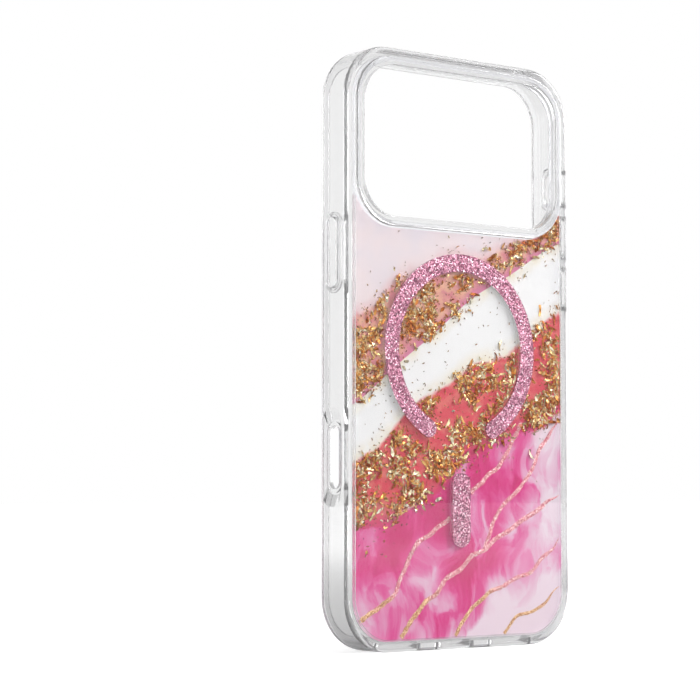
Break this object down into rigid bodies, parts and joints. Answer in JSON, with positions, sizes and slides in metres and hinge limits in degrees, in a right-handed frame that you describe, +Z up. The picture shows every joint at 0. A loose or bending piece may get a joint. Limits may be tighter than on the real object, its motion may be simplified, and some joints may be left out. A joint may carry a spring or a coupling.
{
  "type": "phone case",
  "caption": "Clear phone case with a printed marble back, a glitter magnet ring and bar, a raised camera guard, and four buttons that press in.",
  "frame": {"origin": "middle of the bottom of the bounding box: the case stands on its bottom edge", "axes": "+Z up to the camera end, +Y to the screen side, +X to the right-hand side seen from behind; the printed back faces -Y"},
  "size_m": [0.083, 0.0134, 0.1678],
  "materials": {
    "clear_soft_plastic": "gloss",
    "clear_hard_plastic": "polished",
    "clear_sheet": "satin",
    "printed_film": "gloss",
    "pink_glitter": "satin",
    "adhesive_film": "matte",
    "magnet_nickel": "satin",
    "button_plastic": "gloss"
  },
  "bodies": {
    "case": {"bumper_frame": "clear_soft_plastic", "back_plate": "clear_hard_plastic", "camera_guard": "clear_soft_plastic", "print_film": "printed_film", "inner_liner": "clear_sheet", "glitter_ring": "pink_glitter", "glitter_bar": "pink_glitter", "ring_adhesive": "adhesive_film", "bar_adhesive": "adhesive_film", "bar_magnet": "magnet_nickel", "ring_magnet_01": "magnet_nickel", "ring_magnet_02": "magnet_nickel", "ring_magnet_03": "magnet_nickel", "ring_magnet_04": "magnet_nickel", "ring_magnet_05": "magnet_nickel", "ring_magnet_06": "magnet_nickel", "ring_magnet_07": "magnet_nickel", "ring_magnet_08": "magnet_nickel", "ring_magnet_09": "magnet_nickel", "ring_magnet_10": "magnet_nickel", "ring_magnet_11": "magnet_nickel", "ring_magnet_12": "magnet_nickel", "ring_magnet_13": "magnet_nickel", "ring_magnet_14": "magnet_nickel", "ring_magnet_15": "magnet_nickel", "ring_magnet_16": "magnet_nickel", "ring_magnet_17": "magnet_nickel", "ring_magnet_18": "magnet_nickel", "ring_magnet_19": "magnet_nickel", "ring_magnet_20": "magnet_nickel", "ring_magnet_21": "magnet_nickel", "ring_magnet_22": "magnet_nickel", "ring_magnet_23": "magnet_nickel", "ring_magnet_24": "magnet_nickel", "ring_magnet_25": "magnet_nickel", "ring_magnet_26": "magnet_nickel", "ring_magnet_27": "magnet_nickel", "ring_magnet_28": "magnet_nickel", "ring_magnet_29": "magnet_nickel", "ring_magnet_30": "magnet_nickel"},
    "power_button": {"power_button": "button_plastic"},
    "action_button": {"action_button": "button_plastic"},
    "volume_up_button": {"volume_up_button": "button_plastic"},
    "volume_down_button": {"volume_down_button": "button_plastic"}
  },
  "joints": [
    {"name": "power_press", "type": "slide", "parent": "case", "child": "power_button", "axis": [1, 0, 0], "range_m": [0, 0.0004], "stiffness_N_per_m": 1500},
    {"name": "action_press", "type": "slide", "parent": "case", "child": "action_button", "axis": [-1, 0, 0], "range_m": [0, 0.0004], "stiffness_N_per_m": 1500},
    {"name": "volume_up_press", "type": "slide", "parent": "case", "child": "volume_up_button", "axis": [-1, 0, 0], "range_m": [0, 0.0004], "stiffness_N_per_m": 1500},
    {"name": "volume_down_press", "type": "slide", "parent": "case", "child": "volume_down_button", "axis": [-1, 0, 0], "range_m": [0, 0.0004], "stiffness_N_per_m": 1500}
  ]
}
